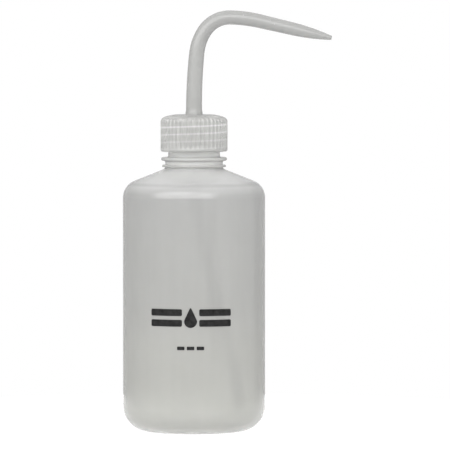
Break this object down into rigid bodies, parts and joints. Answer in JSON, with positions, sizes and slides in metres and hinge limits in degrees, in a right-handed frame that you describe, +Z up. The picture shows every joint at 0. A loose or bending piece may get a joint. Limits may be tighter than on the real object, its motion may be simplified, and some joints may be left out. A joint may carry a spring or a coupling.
{
  "type": "wash bottle",
  "caption": "Round squeeze bottle with domed shoulder, threaded neck, ribbed screw cap, bent tapered nozzle and slanted dip tube.",
  "frame": {"origin": "centre of the bottle's foot, on the surface that it stands on", "axes": "+Z up the bottle's axis, +X the way the nozzle points, the printed side faces -Y"},
  "size_m": [0.0899, 0.0612, 0.1807],
  "materials": {
    "bottle_wall": "milky translucent natural polyethylene, satin",
    "cap_plastic": "translucent natural polypropylene, glossy",
    "spout_plastic": "milky translucent polyethylene, satin",
    "tube_plastic": "extruded translucent polyethylene",
    "seal_foam": "soft white closed-cell foam",
    "ink": "black screen-printed ink"
  },
  "bodies": {
    "bottle": {"bottle": "bottle_wall"},
    "seal": {"sealing_washer": "seal_foam"},
    "cap": {"screw_cap": "cap_plastic"},
    "spout": {"spout": "spout_plastic", "dip_tube": "tube_plastic"}
  },
  "joints": [
    {"name": "closure_rise", "type": "slide", "parent": "bottle", "child": "seal", "axis": [0, 0, 1], "range_m": [0, 0.0072]},
    {"name": "cap_turn", "type": "hinge", "parent": "seal", "child": "cap", "pos_m": [0, 0, 0.128], "axis": [0, 0, 1], "range_deg": [0, 810]},
    {"name": "spout_swivel", "type": "hinge", "parent": "seal", "child": "spout", "pos_m": [0, 0, 0.134], "axis": [0, 0, 1], "continuous": true}
  ],
  "couplings": [
    {"joint": "closure_rise", "follows": "cap_turn", "m_per_rad": 0.00050532}
  ]
}
